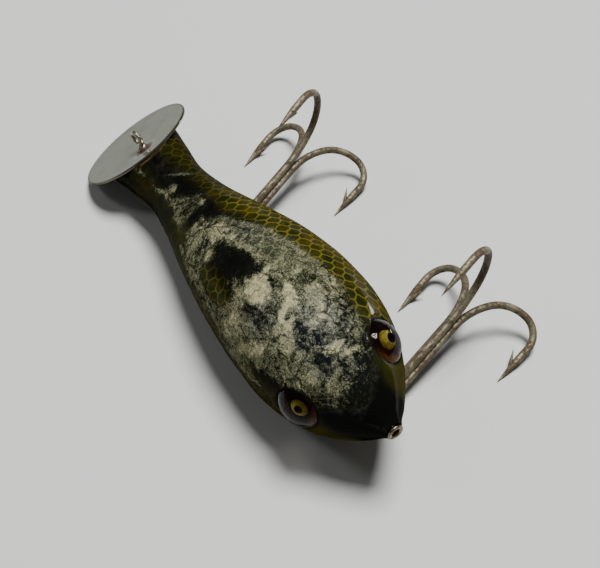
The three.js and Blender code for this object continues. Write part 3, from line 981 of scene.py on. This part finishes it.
def makeBed():
    look = eyeLook
    paint = Paint("eyeBed", Roughness=0.35, Specular_IOR_Level=0)
    place = paint.place()
    x, y = paint.axes(place)[:2]
    blotch = paint.noise(place, 0.9, 4) - 0.5
    glow = (distance(x, y) + blotch * 1.6).smooth(1.9, 3.0) * (blotch * 2 + x * 0.5 - 0.6).smooth(0, 1)
    paint.drive("Base Color", paint.mix(glow, look["bed"], look["bedGlow"]))
    return paint.material


def makeIris():
    look = eyeLook
    paint = Paint("eyeIris", Roughness=0.3, Specular_IOR_Level=0)
    place = paint.place()
    x, y = paint.axes(place)[:2]
    spots = paint.noise(place, 1.6, 4) - 0.5
    colour = paint.mix((distance(x, y) + spots * 0.4).smooth(0.5, 1.5), look["irisPale"], look["iris"])
    paint.drive("Base Color", paint.mix((spots + 0.1).smooth(0.05, 0.3) * 0.5, colour, look["bedGlow"]))
    return paint.material


def makePupil():
    look = eyeLook
    paint = Paint("eyePupil", Roughness=0.12, Specular_IOR_Level=0)
    specks = (paint.noise(paint.place(), 5, 3) - 0.5).smooth(0.16, 0.24)
    paint.drive("Base Color", paint.mix(specks * 0.35, look["pupil"], look["irisPale"]))
    return paint.material


eyeMaterials = {"Glass": makeGlass(), "Bed": makeBed(), "Iris": makeIris(), "Pupil": makePupil()}
tip = 0.02  # radius of the small flat where a profile meets its axis


def capProfile(radius, height, base, steps=14):  # low dome, for the iris and the pupil
    profile = [(tip, base - 0.12), (radius * 0.96, base - 0.12), (radius, base - 0.08)]
    for i in range(steps + 1):
        a = math.pi / 2 * i / steps
        profile.append((max(radius * math.cos(a), 0.015), base + height * math.sin(a)))
    return profile


def glassProfile(radius, bed, steps=32):
    dome = eyeShape["dome"]
    sphere = (radius ** 2 + dome ** 2) / (2 * dome)
    reach = math.asin(radius / sphere)
    back = bed - 0.1
    profile = [(tip, back), (radius * 0.5, back), (radius - 0.06, back), (radius, back + 0.06)]
    for i in range(steps + 1):
        a = reach * (1 - i / steps)
        height = -eyeShape["rim"] + dome - sphere * (1 - math.cos(a))
        profile.append((max(sphere * math.sin(a), tip), height))
    return profile


def bedProfile(radius, bed):  # dish under the glass, with a brim that hides its edge
    brim = radius + 0.03
    return [
        (tip, bed - 0.2), (radius - 0.1, bed - 0.2), (brim, bed - 0.1), (brim, -0.42), (brim - 0.09, -0.4),
        (brim - 0.16, -0.46), (brim - 0.2, bed + 0.1), (radius * 0.7, bed), (radius * 0.3, bed), (tip, bed),
    ]


def buildEye(side):
    place, out = eyeSeat(side)
    at = basis(out, place)
    radius = eyeShape["radius"] + 0.06
    bed = eyeLook["bedDepth"][side]
    irisHeight = eyeLook["irisHeight"][side]
    pupilBase = bed + irisHeight * 0.82 + 0.14
    profiles = {
        "Glass": glassProfile(radius, bed),
        "Bed": bedProfile(radius, bed),
        "Iris": capProfile(eyeLook["irisRadius"][side], irisHeight, bed + 0.06),
        "Pupil": capProfile(eyeLook["pupilRadius"][side], eyeLook["pupilHeight"], pupilBase),
    }
    shifts = {"Iris": eyeLook["irisShift"][side], "Pupil": eyeLook["pupilShift"][side]}
    for title, profile in profiles.items():
        shift = Matrix.Translation((*shifts.get(title, (0, 0)), 0))
        part = moved(turned(profile, 80), shift)
        placePiece(side + "Eye" + title, part, at, eyeMaterials[title], 35)
    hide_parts(side + "_eye")


for side in ("left", "right"):
    buildEye(side)
print("eyes made")


# Cup in the nose

cupProfile = [  # up the outside, over the rolled lip and down inside
    (0.02, 0), (0.98, 0), (1, 0.05), (1, 2.02), (1.02, 2.06), (1.38, 2.1), (1.45, 2.16), (1.46, 2.24),
    (1.4, 2.34), (1.28, 2.43), (1.1, 2.47), (0.94, 2.45), (0.8, 2.36), (0.72, 2.22), (0.7, 2), (0.69, 0.5),
    (0.6, 0.34), (0.4, 0.3), (0.02, 0.3),
]
cupPlace = basis((1, 0, 0), (-1.8, 0, 0), (0, 1, 0))
cup = placePiece("noseCup", turned(cupProfile, 72), cupPlace, cupMaterial, 40)
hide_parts("nose_cup")


# Metal plate and the line tie on it


def buildPlate():
    r = slantedEnd["radius"]
    t = slantedEnd["thickness"]
    back = [(0.05, -t), (3, -t), (6, -t), (9, -t)]
    edge = [(r - 0.2, -t), (r - 0.05, 0.05 - t), (r, 0.16 - t), (r, -0.16), (r - 0.05, -0.05), (r - 0.2, 0)]
    face = [(far, 0) for far in range(11, 0, -1)] + [(0.05, 0)]
    at = basis(plateOut, plateFace, plateUp)
    return placePiece("metalPlate", turned(back + edge + face, 128), at, plateMaterial, 40)


plate = buildPlate()
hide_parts("metal_plate")

tieShape = {
    "ring": 1.3,
    "wire": 0.5,
    "ringHeight": 2.4,
    "neck": 0.8,  # the ring leans from here
    "depth": 6,
    "turn": 14,
    "lean": 9,
    "collar": [(0.02, -0.02), (0.97, -0.02), (1.05, 0.25), (1, 0.6), (0.85, 0.9), (0.6, 1.08), (0.3, 1.15),
               (0.02, 1.16)],
}


def buildTie():
    look = tieShape
    foot = plateFace + plateUp * slantedEnd["tieUp"] + np.array([0, slantedEnd["tieLeft"], 0])
    ringTurn = (
        Matrix.Translation((0, 0, look["neck"]))
        @ Matrix.Rotation(rad(-look["lean"]), 4, "X")
        @ Matrix.Translation((0, 0, look["ringHeight"] - look["neck"]))
        @ Matrix.Rotation(rad(look["turn"]), 4, "Z")
        @ Matrix.Rotation(rad(90), 4, "X")
    )
    wire = look["wire"]
    shank = [(0, 0, -look["depth"]), (0, 0, -3), (0, 0, 0.6), (0, 0, 1.1)]
    parts = [
        moved(closedRing(look["ring"], wire), ringTurn),
        turned(look["collar"], 48),
        tube(shank, [0.3, 0.48, wire, wire], (1, 0, 0), 24),
    ]
    at = basis(plateOut, foot, plateUp)
    return placePiece("lineTie", joined(parts), at, tieMaterial, 50)


tie = buildTie()
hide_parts("line_tie")


# Screw eyes under the belly

hangerShape = {
    "front": 11.7,  # distance from the nose
    "rear": 57.2,
    "ring": 1.4,
    "wire": 0.45,
    "drop": 2.15,
    "depth": 6,
}


def buildHanger(which):  # gives back the middle of its ring, where the treble hangs
    look = hangerShape
    foot = skin(np.array(float(look[which])), np.array(math.pi))
    hanging = Matrix.Translation((0, 0, look["drop"])) @ Matrix.Rotation(rad(90), 4, "X")
    ring = moved(closedRing(look["ring"], look["wire"]), hanging)
    path = [(0, 0, -look["depth"]), (0, 0, -2), (0, 0, look["drop"] - look["ring"])]
    shank = tube(path, [0.25, look["wire"], look["wire"]], (1, 0, 0), 20)
    at = basis((0, 0, -1), foot, (0, 1, 0))
    piece = placePiece(which + "Hanger", joined([ring, shank]), at, hookMaterial, 50)
    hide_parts(which + "_hanger")
    return lying @ (Vector(foot) * mm + Vector((0, 0, -look["drop"] * mm)))


holds = {which: buildHanger(which) for which in ("front", "rear")}


# Treble hooks

hookShape = {
    "wire": 0.7,
    "fromAxis": 0.85,
    "ring": 1.55,
    "ringWire": 0.55,
    "shank": 19.65,
    "bends": [(13.9, 33.5), (7.6, 56.1), (4, 92.9)],  # radius, degrees
    "point": 8.5,
    "barbFromTip": 3.2,
    "barbLength": 3.4,
    "barbSpread": 1.9,
    "sides": 20,
    "core": [(1.6, 0.2), (2.2, 0.5), (3, 0.72), (6, 0.76), (12, 0.72), (17, 0.66), (19, 0.5), (19.8, 0.12)],
}
barbSteps = [  # share of the barb's length, share of its spread, radius
    (0.25, 0.22, 0.36), (0.5, 0.47, 0.3), (0.75, 0.73, 0.19), (1, 1, 0.03),
]


def hookPath():  # along, out and radius: shank, bends and point of one hook
    wire = hookShape["wire"]
    path = [(1.2, 0.4, 0.42), (2.2, 0.7, 0.6), (3.2, hookShape["fromAxis"], wire)]
    path += [(x, hookShape["fromAxis"], wire) for x in np.linspace(5, hookShape["shank"], 10)]
    x = hookShape["shank"]
    y = hookShape["fromAxis"]
    heading = 0
    for radius, turn in hookShape["bends"]:
        steps = max(6, round(turn / 3.5))
        centreX = x - radius * math.sin(heading)
        centreY = y + radius * math.cos(heading)
        for i in range(1, steps + 1):
            a = heading + rad(turn) * i / steps
            path.append((centreX + radius * math.sin(a), centreY - radius * math.cos(a), wire))
        heading += rad(turn)
        x, y = path[-1][:2]
    for share in np.linspace(0.05, 1, 20):
        size = wire * min(1, 1.02 * (1 - max(0, share - 0.3) / 0.7) ** 0.85 + 0.03)
        d = share * hookShape["point"]
        path.append((x + d * math.cos(heading), y + d * math.sin(heading), size))
    return path, heading


def buildHook(turn):  # one of the three hooks, turned about the shank, and its barb
    path, heading = hookPath()
    outward = Vector((0, math.sin(rad(turn)), math.cos(rad(turn))))
    sideways = Vector((0, math.cos(rad(turn)), -math.sin(rad(turn))))

    def at(x, y):
        return Vector((x, 0, 0)) + outward * y

    def onPoint(back, spread):  # back from the tip along the point, and inward from it
        x = path[-1][0] - math.cos(heading) * back - math.sin(heading) * spread
        y = path[-1][1] - math.sin(heading) * back + math.cos(heading) * spread
        return at(x, y)

    start = hookShape["barbFromTip"]
    length = hookShape["barbLength"]
    spread = hookShape["barbSpread"]
    barb = [onPoint(start - 0.2, -0.1)] + [onPoint(start + x * length, y * spread) for x, y, r in barbSteps]
    return [
        tube([at(x, y) for x, y, r in path], [r for x, y, r in path], sideways, hookShape["sides"]),
        tube(barb, [0.3] + [r for x, y, r in barbSteps], sideways, 12),
    ]


def buildTreble(which):
    core = hookShape["core"]
    parts = [
        closedRing(hookShape["ring"], hookShape["ringWire"]),
        tube([(x, 0, 0) for x, r in core], [r for x, r in core], (0, 0, 1), 24),
    ]
    for turn in (-120, 0, 120):
        parts += buildHook(turn)
    swing, rise = lyingPose[which + "Swing"]
    turnMatrix = Matrix.Rotation(rad(swing), 4, "Z") @ Matrix.Rotation(rad(-rise), 4, "Y")
    reach = turnMatrix @ Vector((hookShape["ring"] * mm, 0, 0))
    matrix = Matrix.Translation(holds[which] + reach) @ turnMatrix
    piece = placePiece(which + "Treble", joined(parts), matrix, hookMaterial, 50)
    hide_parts(which + "_treble")


for which in ("front", "rear"):
    buildTreble(which)
print("trebles made")


# Floor, camera and light

bpy.ops.mesh.primitive_plane_add(size=floorLook["across"])
floor = bpy.context.object
floor.name = "floor"
floor.data.materials.append(floorMaterial)

cameraLook = {
    "lens": 65.79,
    "sensor": 36,
    "from": (0.11166, -0.07394, 0.16225),
    "to": (0.005166, -0.002296, 0),
    "nearest": 0.005,
}


def stand(title, data, place, direction, axis):  # turns the thing's axis to the direction
    thing = bpy.data.objects.new(title, data)
    thing.location = place
    thing.rotation_mode = "QUATERNION"
    thing.rotation_quaternion = direction.to_track_quat(axis, "Y")
    bpy.context.scene.collection.objects.link(thing)
    return thing


def makeCamera():
    data = bpy.data.cameras.new("camera")
    data.lens = cameraLook["lens"]
    data.sensor_width = cameraLook["sensor"]
    data.clip_start = cameraLook["nearest"]
    place = Vector(cameraLook["from"])
    bpy.context.scene.camera = stand("camera", data, place, Vector(cameraLook["to"]) - place, "-Z")


lights = {  # where each lamp stands from the middle of the floor, in metres
    "key": {"toward": (-0.05, 0.20, 0.98), "away": 0.9, "size": 0.36, "watts": 16},
    "strip": {"toward": (-0.10, 0.99, 0.02), "away": 0.6, "size": 0.11, "watts": 0.6},
    "side": {"toward": (-0.43, -0.51, 0.75), "away": 1.0, "size": 0.2, "watts": 1.0},
}
worldLook = {
    "tone": tone(0.95, 0.98, 1),
    "strength": 0.09,
}


def makeLamp(title, look):
    lamp = bpy.data.lights.new(title, "AREA")
    lamp.shape = "DISK"
    lamp.energy = look["watts"]
    lamp.size = look["size"]
    toward = Vector(look["toward"]).normalized()
    stand(title, lamp, toward * look["away"], toward, "Z")


def makeWorld():
    world = bpy.data.worlds.new("world")
    bpy.context.scene.world = world
    world.use_nodes = True
    background = world.node_tree.nodes["Background"]
    background.inputs["Color"].default_value = worldLook["tone"]
    background.inputs["Strength"].default_value = worldLook["strength"]


makeCamera()
for title, look in lights.items():
    makeLamp(title, look)
makeWorld()
print("floor, camera and light made")
